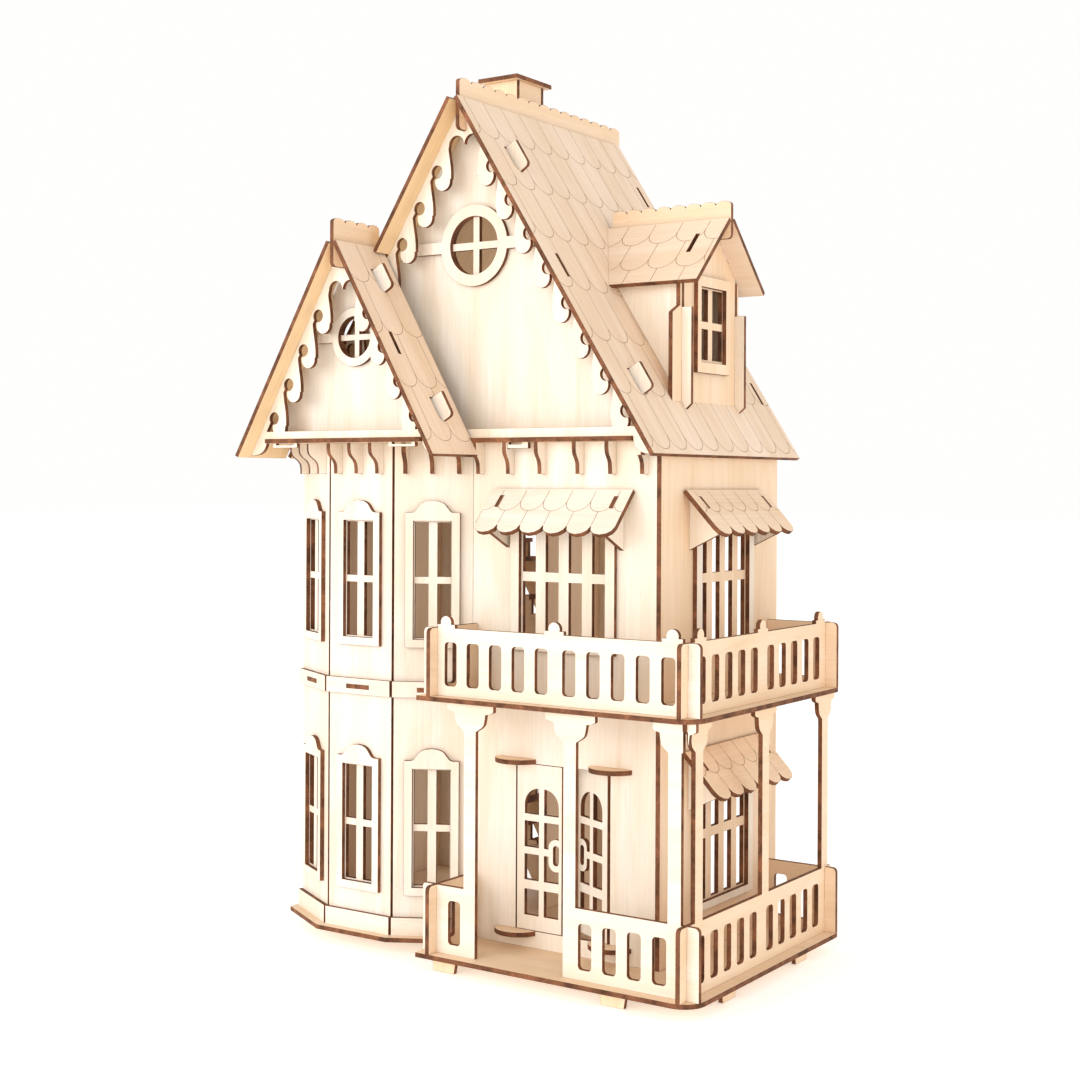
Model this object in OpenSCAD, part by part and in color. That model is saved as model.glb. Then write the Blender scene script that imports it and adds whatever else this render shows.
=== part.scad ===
// Wooden dollhouse of laser-cut plywood: two storeys and an attic, a half-hexagon bay tower, a porch
// and a balcony round the front right corner, a steep main roof with a bay roof, a dormer and a chimney.
// House coordinates: X to the right from the main ridge, Y back from the front wall, Z up from the plate.

/* [Sheet] */
// Thickness of every plywood piece
ply = 3; // [2.8:0.1:3.1]

/* [Body] */
// Width of the main body
body_w = 290; // [288:1:292]
// Depth of the main body
body_d = 159; // [158:1:162]
// Clear height of the ground storey
storey_h = 160; // [159:1:161]
// Clear height of the upper storey
upper_h = 161; // [160:1:162]
// Depth of the porch and the balcony
porch_d = 51; // [50:1:52]
// Height of the porch and balcony rails above their floor
rail_h = 43; // [40:1:46]
// Height of the feet
foot_h = 9; // [6:1:12]

/* [Bay] */
// Centre of the bay tower
bay_x = -71; // [-72:1:-70]
// Width of the bay's front face
bay_front_w = 55; // [54:1:56]
// How far the bay stands in front of the wall
bay_d = 26; // [25:1:27]

/* [Roofs] */
// Height of the main roof's apex
main_apex = 558; // [556:1:560]
// Half width of the main roof at its eaves
main_half = 152.5; // [152:0.5:153]
// Height of the bay roof's apex
bay_apex = 466; // [465:1:467]
// Half width of the bay roof at its eaves
bay_half = 84.9; // [84.5:0.1:85.5]
// Height of the dormer's ridge
dormer_apex = 478; // [477:1:479]
// Half width of the dormer's roof at its eaves
dormer_half = 48; // [47:1:49]
// Top of the chimney
chimney_top = 585; // [580:0.5:590]

/* [Door] */
// Width of the front door's opening
door_w = 71.5; // [70:0.5:73]
// How far the right leaf stands open
ajar = 26; // [0:1:45]

/* [Hidden] */
$fn = 32;
birch = "BurlyWood";
pale = "Wheat";
half_w = body_w / 2;
inner_x = half_w - ply;
room_x = ply;
z1 = ply;
z1_top = z1 + storey_h;
z2 = z1_top + ply;
z2_top = z2 + upper_h;
z3 = z2_top + ply;
upper_shift = z2 - z1;
gap = 0.3;
porch_x = half_w + porch_d + 0.5;
porch_left = -4;
porch_back = body_d - ply;
// The place of the bounding box's bottom centre in house coordinates
origin_x = (bay_x - bay_half + porch_x) / 2;
origin_y = 63;

// Railings: the panel's outer faces, slots and posts
rail_front_y = -43;
rail_side_x = half_w + 40;
rail_lap = 8;
rail_back_y = body_d - 11;
rail_left_x = room_x + 1;
slot_w = 9.3;
slot_low = 6.4;
slot_high = 34;
slot_pitch = 16.9;
post_w = 9;

// Openings of the windows
bay_win_w = 25.6;
bay_frame_w = 36.4;
bay_win_z = z2 + 31.7;
bay_win_h = 78;
main_win_w = 65;
main_frame_w = 79;
main_win_z = z2 + 32.5;
main_win_h = 84.5;
main_win_x = 74;
side_win_y = body_d / 2;

// Door
door_x = main_win_x - 0.15;
door_low = z1 + 11;
door_high = 121;
pivot_in = 2.5;
pin_r = 1.4;
hole_r = 1.45;
leaf_edge = 1;
leaf_w = door_w / 2 - leaf_edge - gap;

// Roofs: slopes, ends and the boards under them
main_slope = atan((main_apex - 319) / main_half);
bay_slope = 60;
dormer_slope = 45;
main_y0 = -22;
main_y1 = body_d + 20;
bay_y0 = -58;
bay_y1 = -10;
main_board_y = -8;
main_gable_y = 6;
rear_frame_y = body_d + 9;
bay_board_y = -46;
bay_gable_y = -31;
ledge_y = -10.5;
attic_half = 141.5;
bay_attic_half = 75;
ledge_half = 129.2;
bay_ledge_half = 66.5;
bay_tab = 50.3;
bay_tab_half = 10.9;
dormer_y = 88;
dormer_wall_x = 130.6;
dormer_end_x = 146.6;
cheek_half = 38;
sill_z = 350;
main_eye_z = 457.5;
bay_eye_z = 397.5;

// ---- placing a flat shape as a plywood panel ----

module house() translate([-origin_x, -origin_y, foot_h]) children();

module slab(z) translate([0, 0, z]) linear_extrude(ply) children();

// A panel that faces the front, drawn in X and Z, with its front face at y
module facade(y) translate([0, y + ply, 0]) rotate([90, 0, 0]) linear_extrude(ply) children();

// A panel that faces the side, drawn in Y and Z, from x to x + ply
module flank(x) translate([x, 0, 0]) rotate([90, 0, 90]) linear_extrude(ply) children();

// A roof panel under the right slope, drawn in Y and minus the distance from the ridge
module slope_right(x, z, angle)
    translate([x, 0, z]) rotate([0, angle - 90, 0]) translate([-ply, 0, 0])
        rotate([90, 0, 90]) linear_extrude(ply) children();

module slope_left(x, z, angle)
    translate([x, 0, z]) mirror([1, 0, 0]) rotate([0, angle - 90, 0]) translate([-ply, 0, 0])
        rotate([90, 0, 90]) linear_extrude(ply) children();

// ---- flat shapes ----

function bez(a, b, c, d, n = 5) = [for (i = [0:n]) let (t = i / n)
    a * pow(1 - t, 3) + 3 * b * t * pow(1 - t, 2) + 3 * c * t * t * (1 - t) + d * pow(t, 3)];

function flip(points) = [for (i = [len(points) - 1:-1:0]) [-points[i][0], points[i][1]]];

module box(x0, y0, x1, y1) translate([x0, y0]) square([x1 - x0, y1 - y0]);

// A box with round corners
module pill(x0, y0, x1, y1, r) {
    box(x0 + r, y0, x1 - r, y1);
    box(x0, y0 + r, x1, y1 - r);
    for (x = [x0 + r, x1 - r], y = [y0 + r, y1 - r]) translate([x, y]) circle(r);
}

// A board with round top corners
module tongue(x0, y0, x1, y1, r) {
    box(x0, y0, x1, y1 - r);
    box(x0 + r, y0, x1 - r, y1);
    for (x = [x0 + r, x1 - r]) translate([x, y1 - r]) circle(r);
}

// ---- plates ----

// Outline of the bay, grown outwards by ledge
module bay_plan(ledge) {
    root = (body_w / 2 + room_x) / 2;
    slant = atan(bay_d / (root - bay_front_w / 2));
    grow = ledge * tan(slant / 2);
    reach = (bay_d + ledge) / tan(slant);
    polygon([
        [bay_x - bay_front_w / 2 - grow, -bay_d - ledge],
        [bay_x + bay_front_w / 2 + grow, -bay_d - ledge],
        [bay_x + bay_front_w / 2 + grow + reach, 0],
        [bay_x + bay_front_w / 2 + grow + reach, ply],
        [bay_x - bay_front_w / 2 - grow - reach, ply],
        [bay_x - bay_front_w / 2 - grow - reach, 0]]);
}

// Outline of the porch and the balcony
module porch_plan() {
    front_r = 15;
    rear_r = 12;
    box(porch_left, -porch_d, porch_x - front_r, porch_back);
    box(porch_x - front_r - 1, front_r - porch_d, porch_x, porch_back - rear_r);
    translate([porch_x - front_r, front_r - porch_d]) circle(front_r);
    translate([porch_x - rear_r, porch_back - rear_r]) circle(rear_r);
    box(porch_x - front_r - 1, porch_back - rear_r, porch_x - rear_r, porch_back);
}

stair_x0 = -100;
stair_x1 = -8;
stair_y0 = 115;
stair_y1 = 153;

module stairwell() box(stair_x0 - 1, stair_y0 - 1, stair_x1 - 38, stair_y1 + 1);

module base_plate() color(birch) house() slab(0) {
    side_ledge = 4;
    box(-half_w - side_ledge, 0, half_w, body_d);
    intersection() {
        bay_plan(9);
        box(-half_w - side_ledge, -2 * bay_d, room_x + side_ledge, ply);
    }
    porch_plan();
}

foot_w = 19;

module foot_shape() polygon([[1.5, -foot_h], [foot_w - 1.5, -foot_h], [foot_w, 0], [0, 0]]);

module feet() color(birch) house() {
    for (x = [3, 128]) translate([x, 0]) facade(-42.5) foot_shape();
    translate([-80.5, 0]) facade(10) foot_shape();
    for (y = [0, 100]) flank(rail_side_x) translate([y, 0]) foot_shape();
    for (y = [20, 120]) flank(-half_w) translate([y, 0]) foot_shape();
    facade(body_d - 9) foot_shape();
}

module first_floor() color(birch) house() slab(z1_top) difference() {
    union() {
        box(-half_w, 0, half_w, body_d);
        bay_plan(0);
        bay_faces_plan() box(-9.8, -ply, 9.8, 1);
        porch_plan();
    }
    stairwell();
}

module attic_floor() color(birch) house() slab(z2_top) difference() {
    union() {
        box(-attic_half, main_board_y + ply, attic_half, rear_frame_y + ply);
        box(room_x + 1, ledge_y, ledge_half, 0);
        box(bay_x - bay_attic_half, bay_board_y + ply, bay_x + bay_attic_half, bay_y1);
        box(bay_x - bay_ledge_half, bay_board_y - 2.5, bay_x + bay_ledge_half, 0);
        box(-ledge_half, bay_y1 - 1, room_x + 2, 0);
    }
    stairwell();
    for (x = hang_x) box(x - hang_half, main_board_y, x + hang_half, main_board_y + ply);
    for (s = [-1, 1]) translate([bay_x + s * bay_tab, bay_board_y])
        box(-bay_tab_half, 0, bay_tab_half, ply);
}

// ---- walls ----

// Panes of a window: columns and rows of openings between bars, centred on x
module panes(x, z, w, h, cols, bar, rail_z, rail) {
    pane = (w - (cols - 1) * bar) / cols;
    for (i = [0:cols - 1]) {
        left = x - w / 2 + i * (pane + bar);
        box(left, z, left + pane, rail_z);
        box(left, rail_z + rail, left + pane, z + h);
    }
}

module main_panes(x, z) panes(x, z + 1, 62.4, main_win_h - 2, 4, 7.7, z + 39.3, 6.3);

module bay_panes(z) panes(0, z + 1, 24, bay_win_h - 2, 2, 6, z + 36.6, 4.7);

module hinge_slots() for (x = hinge_xs, z = [door_low - ply, door_high])
    box(x - hinge_tab, z, x + hinge_tab, z + ply);

hinge_xs = [door_x - door_w / 2, door_x + door_w / 2];
hinge_tab = 12;

module front_wall_ground() color(pale) house() facade(0) difference() {
    box(room_x, z1, inner_x, z1_top);
    box(hinge_xs[0], door_low, hinge_xs[1], door_high);
    hinge_slots();
}

module front_wall_upper() color(pale) house() facade(0) difference() {
    box(room_x, z2, inner_x, z2_top);
    main_panes(main_win_x, main_win_z);
}

side_wall_top = z2_top - 3;

module right_wall_ground() color(pale) house() flank(inner_x) difference() {
    box(0, z1, body_d, z1_top);
    main_panes(side_win_y, main_win_z - upper_shift);
}

module right_wall_upper() color(pale) house() flank(inner_x) difference() {
    box(0, z2, body_d, side_wall_top);
    main_panes(side_win_y, main_win_z);
}

module left_wall_ground() color(pale) house() flank(-half_w) box(ply, z1, body_d, z1_top);

module left_wall_upper() color(pale) house() flank(-half_w) box(ply, z2, body_d, side_wall_top);

bay_root = (half_w + room_x) / 2;
bay_run = bay_root - bay_front_w / 2;
bay_slant = atan(bay_d / bay_run);
bay_side_w = sqrt(bay_d * bay_d + bay_run * bay_run);
bay_mitre = ply * tan(bay_slant / 2) + 0.02;
// Each face of the bay: its left end, its direction, its width
bay_faces = [
    [[bay_x - bay_root, 0], -bay_slant, bay_side_w],
    [[bay_x - bay_front_w / 2, -bay_d], 0, bay_front_w],
    [[bay_x + bay_front_w / 2, -bay_d], bay_slant, bay_side_w]];

// Puts a front-facing shape, centred on X, on each face of the bay
module bay_faces_do() for (f = bay_faces)
    translate([f[0][0], f[0][1], 0]) rotate([0, 0, f[1]]) translate([f[2] / 2, 0, 0]) {
        $face_w = f[2];
        $first = f[1] < 0 ? 0 : 1;
        $last = f[1] > 0 ? 0 : 1;
        children();
    }

module bay_faces_plan() for (f = bay_faces)
    translate(f[0]) rotate(f[1]) translate([f[2] / 2, 0]) children();

module bay_wall(z0, z1, win_z) facade(0) difference() {
    box(-$face_w / 2 + $first * bay_mitre, z0, $face_w / 2 - $last * bay_mitre, z1);
    bay_panes(win_z);
}

module bay_walls_ground() color(pale) house() bay_faces_do()
    bay_wall(z1, z1_top, bay_win_z - upper_shift);

module bay_walls_upper() color(pale) house() bay_faces_do() bay_wall(z2, z2_top, bay_win_z);

// A strip on the bay's outer face; it ends short of the side railing at the bay's root
module bay_strip(z0, z1, root_cut) {
    box(-$face_w / 2 + 0.1, z0, $face_w / 2 - 0.1 - (1 - $last) * root_cut, z1);
}

module bay_base_bands() color(birch) house() bay_faces_do()
    facade(-ply) bay_strip(z1, z1 + 11.7, 4);

module bay_floor_bands() color(birch) house() bay_faces_do() facade(-ply) difference() {
    bay_strip(z1_top - 3.5, z2 + 4, 10.4);
    box(-9.8, z1_top, 9.8, z2);
}

module bay_frame(z) {
    half = bay_frame_w / 2;
    sill = 5.4;
    shoulder = z + bay_win_h + sill;
    arc = bez([14.2, 0], [9, 0], [11.5, 8], [0, 8], 7);
    difference() {
        union() {
            box(-half, z - sill, half, shoulder);
            translate([0, shoulder]) polygon(concat(arc, flip(arc)));
        }
        box(-bay_win_w / 2, z, bay_win_w / 2, z + bay_win_h);
    }
}

module bay_window_frames() color(pale) house() bay_faces_do()
    for (z = [bay_win_z, bay_win_z - upper_shift]) facade(-ply) bay_frame(z);

module main_frame(x, z) difference() {
    box(x - main_frame_w / 2, z - 5, x + main_frame_w / 2, z + main_win_h + 5);
    box(x - main_win_w / 2, z, x + main_win_w / 2, z + main_win_h);
}

module front_window_frame() color(pale) house() facade(-ply) main_frame(main_win_x, main_win_z);

module right_window_frames() color(pale) house()
    for (z = [main_win_z, main_win_z - upper_shift]) flank(half_w) main_frame(side_win_y, z);

door_y = 66;
door_r = 16;

// The partition between the bay room and the main room, with an arched doorway near the front
module inner_wall(z0, z1) flank(0) difference() {
    box(ply, z0, body_d - ply, z1);
    box(door_y - door_r, z0 - 1, door_y + door_r, z0 + 115);
    translate([door_y, z0 + 115]) circle(door_r);
}

// The narrow wall round a storey's open back, with a leg at each wall and at the partition
module rear_wall(z0, z1) facade(body_d - ply) difference() {
    box(-inner_x, z0, inner_x, z1);
    box(20 - inner_x, z0 - 1, room_x - 15, z1 - 9);
    box(room_x + 15, z0 - 1, inner_x - 17, z1 - 9);
}

module rear_walls() color(birch) house() {
    rear_wall(z1, z1_top);
    rear_wall(z2, z2_top);
}

module inner_wall_ground() color(birch) house() inner_wall(z1, z1_top);

module inner_wall_upper() color(birch) house() inner_wall(z2, z2_top);

steps = 12;
stair_run = (stair_x1 - stair_x0) / steps;

// One staircase between two floors, rising to the left: two sawtooth stringers and the treads on them
module stairs(z0, h) translate([stair_x0 + stair_x1, 0, 0]) mirror([1, 0, 0]) {
    rise = h / steps;
    top = [for (i = [0:steps - 2]) each [
        [stair_x0 + i * stair_run, z0 + (i + 1) * rise - ply],
        [stair_x0 + (i + 1) * stair_run, z0 + (i + 1) * rise - ply]]];
    for (y = [stair_y0 + 3, stair_y1 - 3 - ply]) facade(y)
        polygon(concat([[stair_x0, z0]], top,
            [[stair_x1 - stair_run, z0 + (steps - 3) * rise], [stair_x0 + 2 * stair_run, z0]]));
    for (i = [1:steps - 1]) translate([0, 0, z0 + i * rise - ply]) linear_extrude(ply)
        box(stair_x0 + (i - 1) * stair_run, stair_y0, stair_x0 + i * stair_run, stair_y1);
}

module stairs_ground() color(birch) house() stairs(z1, storey_h);

module stairs_upper() color(birch) house() stairs(z2, upper_h);

// ---- front door ----

// The flat shape of a leaf, with x measured from its hinge edge
module leaf_shape() {
    pane_z = [23.9, 46.4, 67.6, 88.8];
    pane_h = 16.5;
    boss_z = 64;
    boss_x = leaf_w - 4.4;
    arch_r = 11;
    difference() {
        box(0, door_low + gap, leaf_w, door_high - gap);
        difference() {
            for (i = [0:3]) {
                box(6, pane_z[i], 16.8, pane_z[i] + pane_h);
                box(21, pane_z[i], 32, pane_z[i] + pane_h);
            }
            translate([boss_x, boss_z - 4.6]) circle(5.8);
            translate([boss_x, boss_z + 4.6]) circle(5.8);
            box(boss_x - 5.8, boss_z - 4.6, leaf_w, boss_z + 4.6);
            for (x = [6 + arch_r, 32 - arch_r]) difference() {
                box(x < 20 ? 0 : x, pane_z[3] + pane_h - arch_r, x < 20 ? x : leaf_w, 110);
                translate([x, pane_z[3] + pane_h - arch_r]) circle(arch_r);
            }
        }
        pill(boss_x - 2.2, boss_z - 6.3, boss_x + 2.2, boss_z + 6.3, 2.1);
    }
}

// A leaf whose pivot is the Z axis and whose free edge points to +X
module leaf() {
    translate([-pivot_in + leaf_edge, 0, 0]) facade(-ply / 2) leaf_shape();
    translate([0, 0, door_high - gap]) cylinder(h = ply + gap, r = pin_r);
    translate([0, 0, door_low - ply]) cylinder(h = ply + gap, r = pin_r);
}

pivot_left = [hinge_xs[0] + pivot_in, ply / 2, 0];
pivot_right = [hinge_xs[1] - pivot_in, ply / 2, 0];

module door_left() color(pale) house() translate(pivot_left) leaf();

module door_right() color(pale) house() translate(pivot_right) rotate([0, 0, -ajar])
    mirror([1, 0, 0]) leaf();

module hinge_plates() color(birch) house() for (x = hinge_xs, z = [door_low - ply, door_high])
    translate([0, 0, z]) difference() {
        pivot = x < door_x ? x + pivot_in : x - pivot_in;
        linear_extrude(ply) {
            box(x - hinge_tab, -1, x + hinge_tab, ply + 2);
            intersection() {
                translate([x, 4]) circle(16);
                box(x - 20, -20, x + 20, 0);
            }
        }
        translate([pivot, ply / 2, -1]) cylinder(h = ply + 2, r = hole_r);
    }

// ---- railings ----

// A row of rail slots, from the first one's left edge, above a floor at z
module rail_slots(start, count, z, pitch = slot_pitch) for (i = [0:count - 1])
    pill(start + i * pitch, z + slot_low, start + i * pitch + slot_w, z + slot_high, 2.5);

// A post with a stepped capital under the plate at z1; left and right are the capital's half widths
module post(x, w, z0, z1, left = 18, right = 18) {
    box(x, z0, x + w, z1 - 1);
    translate([x + w, z1]) capital(right - w / 2);
    translate([x, z1]) mirror([1, 0]) capital(left - w / 2);
}

module capital(reach) polygon(concat(
    [[-1, 0], [reach, 0], [reach, -5], [reach * 0.8, -6.2], [reach * 0.55, -6.8], [reach * 0.5, -11]],
    bez([reach * 0.46, -13], [reach * 0.38, -15.5], [reach * 0.15, -16.5], [0, -18]),
    [[-1, -18]]));

// A small turned-looking finial that stands on a rail
module finial(x, z) {
    box(x - 7, z - 0.5, x + 7, z + 2.2);
    translate([x, z + 3.4]) circle(4.2);
}

lap_z = z1 + rail_h / 2;

module porch_front() color(pale) house() facade(rail_front_y) difference() {
    gate_x0 = 37;
    gate_x1 = 102.6;
    right_x = rail_side_x + ply + rail_lap;
    union() {
        tongue(porch_left, z1, gate_x0, z1 + rail_h, 2);
        tongue(gate_x1, z1, right_x, z1 + rail_h, 3);
        post(gate_x0 - post_w, post_w, z1 + 9, z1_top);
        post(gate_x1, post_w, z1 + 9, z1_top);
        post(175, post_w, z1 + 9, z1_top, 15, 14);
    }
    rail_slots(16.2, 1, z1);
    rail_slots(113.7, 4, z1, 17.1);
    box(rail_side_x, lap_z, rail_side_x + ply, z1 + rail_h + 1);
    box(rail_left_x, lap_z, rail_left_x + ply, z1 + rail_h + 1);
    box(rail_side_x, z1_top - 20, rail_side_x + ply, z1_top - 2.2);
}

module porch_side() color(pale) house() flank(rail_side_x) difference() {
    union() {
        tongue(-porch_d, z1, porch_back, z1 + rail_h, 3);
        for (y = [-33.5, 52.5, 140]) post(y, 9.3, z1 + 9, z1_top, 15, 15);
    }
    rail_slots(-31.2, 5, z1, 16.8);
    rail_slots(58.6, 5, z1, 16.8);
    box(rail_front_y, z1 - 1, rail_front_y + ply, lap_z);
    box(rail_front_y, z1_top - 2.2, rail_front_y + ply, z1_top + 1);
    box(rail_back_y - ply, z1 - 1, rail_back_y, lap_z);
}

module left_return(z0) flank(rail_left_x) difference() {
    tongue(-porch_d, z0, 5, z0 + rail_h, 3);
    box(0, z0 - 1, 6, z0 + rail_h + 1);
    rail_slots(-33, 2, z0, 15);
    box(rail_front_y, z0 - 1, rail_front_y + ply, z0 + rail_h / 2);
}

module rear_return(z0) facade(rail_back_y - ply) difference() {
    tongue(half_w - 5, z0, rail_side_x + ply + rail_lap, z0 + rail_h, 3);
    box(half_w - 6, z0 - 1, half_w, z0 + rail_h + 1);
    rail_slots(half_w + 6, 2, z0, 17);
    box(rail_side_x, z0 + rail_h / 2, rail_side_x + ply, z0 + rail_h + 1);
}

module porch_left_return() color(pale) house() left_return(z1);

module porch_rear() color(pale) house() rear_return(z1);

module balcony_front() color(pale) house() facade(rail_front_y) difference() {
    union() {
        tongue(porch_left, z2, rail_side_x + ply + rail_lap, z2 + rail_h, 3);
        for (x = [13.4, 95.4, 177.6]) finial(x, z2 + rail_h);
    }
    rail_slots(12.6, 5, z2, 17.2);
    rail_slots(101.5, 5, z2, 17.2);
    for (x = [rail_side_x, rail_left_x]) box(x, z2 + rail_h / 2, x + ply, z2 + rail_h + 1);
}

module balcony_side() color(pale) house() flank(rail_side_x) difference() {
    union() {
        tongue(-porch_d, z2, porch_back, z2 + rail_h, 3);
        for (y = [-28, 52.5, 137]) finial(y, z2 + rail_h);
    }
    rail_slots(-31.2, 5, z2, 16.8);
    rail_slots(58.6, 5, z2, 16.8);
    box(rail_front_y, z2 - 1, rail_front_y + ply, z2 + rail_h / 2);
    box(rail_back_y - ply, z2 - 1, rail_back_y, z2 + rail_h / 2);
}

module balcony_left_return() color(pale) house() left_return(z2);

module balcony_rear() color(pale) house() rear_return(z2);

// ---- corbels and awnings ----

// A corbel's profile: its back on the wall at 0, its top at 0, reaching out to minus Y
module corbel_shape(reach) polygon(concat(
    [[0, -20.3], [0, 0], [-reach, 0]],
    bez([-reach, -4], [-reach, -11], [-5.5, -9], [-5.5, -17], 6),
    [[-5.5, -20.3]]));

corbel_x = [9, 32.7, 57.3, 86, 110, 133];

// The second corbel is notched for the bargeboard's tongue, the last one is cut back for its tail
module corbels_main() color(birch) house() for (i = [0:5]) flank(corbel_x[i]) difference() {
    translate([0, z2_top]) corbel_shape(9.9);
    if (i == 1) box(main_board_y - gap, z2_top - 4.2, main_board_y + ply + gap, z2_top + 1);
    if (i == 5) box(-20, z2_top - 8.6, main_board_y + ply + gap, z2_top + 1);
}

module corbels_bay() color(birch) house() bay_faces_do() for (x = [-17.8, 0, 17.8])
    flank(x - ply / 2) translate([0, z2_top]) corbel_shape(13);

awning_w = 105;
awning_reach = 26;
awning_drop = 27.5;
awning_slope = atan(awning_drop / awning_reach);

// An awning's panel drawn flat: its top edge at 0, a scalloped lower edge
module awning_shape() {
    length = awning_drop / sin(awning_slope);
    difference() {
        mirror([0, 1]) polygon(concat([[awning_w / 2, 0], [-awning_w / 2, 0]],
            scallops(-awning_w / 2, awning_w / 2, length, 6, 7)));
        for (s = [-1, 1]) box(s * 43 - ply / 2, -16, s * 43 + ply / 2, -6);
    }
}

// An awning over a window: centred on X, its top edge against the wall at height z
module awning(z) translate([0, 0, z]) rotate([awning_slope, 0, 0])
    linear_extrude(ply) awning_shape();

// The two plates that carry an awning
module brackets(z) for (s = [-1, 1]) translate([s * 43 - ply / 2, 0, z]) rotate([90, 0, 90])
    linear_extrude(ply) bracket_shape();

// A point under an awning: d down its slope, h above its underside
function awning_at(d, h) = [
    -d * cos(awning_slope) - h * sin(awning_slope), -d * sin(awning_slope) + h * cos(awning_slope)];

module bracket_shape() {
    polygon([[-0.05, -0.1], awning_at(33, -0.05), awning_at(33, -3), [-0.05, -36]]);
    polygon([awning_at(6.1, -2), awning_at(6.1, ply + 0.5), awning_at(15.9, ply + 0.5), awning_at(15.9, -2)]);
}

front_awning_z = z2 + 129.2;

module on_front() translate([main_win_x, 0, 0]) children();

module on_side() translate([half_w, side_win_y, 0]) rotate([0, 0, 90]) children();

module awning_front() color(birch) house() on_front() awning(front_awning_z);

module awning_side_upper() color(birch) house() on_side() awning(front_awning_z);

module awning_side_ground() color(birch) house() on_side() awning(front_awning_z - 163.5);

module awning_brackets() color(birch) house() {
    on_front() brackets(front_awning_z);
    on_side() brackets(front_awning_z);
    on_side() brackets(front_awning_z - 163.5);
}

// ---- gables ----

// The triangle under a roof, from z up, whose corners stay clear of the roof's panels
module gable(x, apex, slope, z) {
    under = ply / cos(slope) + 0.05;
    half = (apex - under - z) / tan(slope);
    polygon([[x - half, z], [x + half, z], [x, apex - under]]);
}

// The ring and cross of a round window: the cross is cut in the wall
module cross_panes(x, z, r, bar) difference() {
    translate([x, z]) circle(r);
    box(x - bar / 2, z - r, x + bar / 2, z + r);
    box(x - r, z - bar / 2, x + r, z + bar / 2);
}

module ridge_slot(x, apex, z) box(x - ply / 2, z, x + ply / 2, apex + 10);

main_ridge_low = main_apex - 27;
bay_ridge_low = bay_apex - 24;

module main_gable_wall() color(pale) house() facade(main_gable_y) difference() {
    union() {
        gable(0, main_apex, main_slope, z3);
        roof_hooks(0, main_apex, main_slope, main_hooks);
    }
    ridge_slot(0, main_apex, main_ridge_low);
    cross_panes(0, main_eye_z, 19.3, 5);
}

main_hooks = [[45, 65], [220, 239]];
bay_hooks = [[28, 46], [127, 145]];
hook_rise = 8;
hook_round = 3;
// How far a hook's slot reaches in front of the hook
hook_play = 3.2;

// Hooks of a gable board: they pass through slots in the roof's panels and stand proud of them
module roof_hooks(x, apex, slope, spans) for (side = [0, 1], s = spans)
    translate([x, apex]) mirror([side, 0]) rotate(-slope)
        translate([s[1], hook_rise]) {
            box(s[0] - s[1], -hook_rise - ply - 2, -hook_round, 0);
            box(-hook_round - 1, -hook_rise - ply - 2, 0, -hook_round);
            translate([-hook_round, -hook_round]) circle(hook_round);
        }

// The slots of the same hooks, each open in front of its hook and curved in at its lower end
module hook_slots(y, spans) for (s = spans) polygon(concat(
    [[y + ply, -s[0]], [y - hook_play, -s[0]]],
    bez([y - hook_play, 6 - s[1]], [y - hook_play, 2 - s[1]], [y - 1.5, 0.6 - s[1]], [y + 0.4, -s[1]]),
    [[y + ply, -s[1]]]));

module main_gable_ring() color(pale) house() facade(main_gable_y - ply) difference() {
    union() {
        translate([0, main_eye_z]) circle(27);
        box(-48, main_eye_z - 4, 48, main_eye_z + 4);
    }
    translate([0, main_eye_z]) circle(19.3);
}

hang_x = [41.2];
hang_half = 10.5;

// One unit of the running scroll: a finger that ends in a bulb, with an eye above it.
// Drawn for a left rake, with the bulb's centre at 0.
module scroll_finger() {
    riser = bez([7, 1], [7.5, 12], [4.5, 16], [4, 29], 6);
    circle(6.2);
    polygon(concat([[-1, 1]], riser, [[-13, 9], [-9.4, 4]]));
}

module scroll_eye() translate([-4.6, 6.6]) circle(4.4, $fn = 24);

// A rake board with running scrolls, drawn for the left side of an apex at 0
module rake(slope, length, count, first, pitch, unit = 1) {
    strip = 4.4;
    lift = ply / cos(slope) + 0.05;
    depth = 13.6 * unit;
    difference() {
        union() {
            translate([0, -lift]) rotate(slope) box(-length, -strip, 0, 0);
            for (i = [0:count - 1]) rake_at(slope, first + i * pitch, depth) scale(unit) scroll_finger();
        }
        for (i = [0:count - 1]) rake_at(slope, first + i * pitch, depth) scale(unit) scroll_eye();
    }
}

module rake_at(slope, s, depth) {
    lift = ply / cos(slope);
    translate([-s * cos(slope) + depth * sin(slope), -lift - s * sin(slope) - depth * cos(slope)])
        children();
}

module main_bargeboard() color(pale) house() facade(main_board_y) {
    length = main_half / cos(main_slope) - 1.7;
    difference() {
        union() {
            intersection() {
                union() {
                    translate([0, main_apex]) for (side = [0, 1]) mirror([side, 0])
                        rake(main_slope, length, 8, 54, 27.2);
                    translate([0, main_apex]) heart_top();
                    box(-main_half, z3, main_half, z3 + 6);
                }
                gable(0, main_apex, main_slope, z3);
            }
            for (x = hang_x) box(x - hang_half, z2_top - 3.9, x + hang_half, z3 + 1);
            intersection() {
                eave_tail(1, ledge_half, main_half);
                gable(0, main_apex, main_slope, 319);
            }
        }
        ridge_slot(0, main_apex, main_ridge_low);
        for (x = hang_x) box(x - hang_half + 6, z2_top - 1.5, x + hang_half - 5, z2_top);
    }
}

// A bargeboard's curved tail, which hangs past the end of the ledge under it
module eave_tail(side, ledge, half) {
    x = ledge + 0.2;
    outline = concat([[x, z3 + 6]],
        bez([x, z3 - 1], [x + 0.4, z3 - 6.5], [x + 4, 319.2], [x + 11, 319]), [[half, 319], [half, z3 + 6]]);
    polygon([for (p = outline) [side * p[0], p[1]]]);
}

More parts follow.
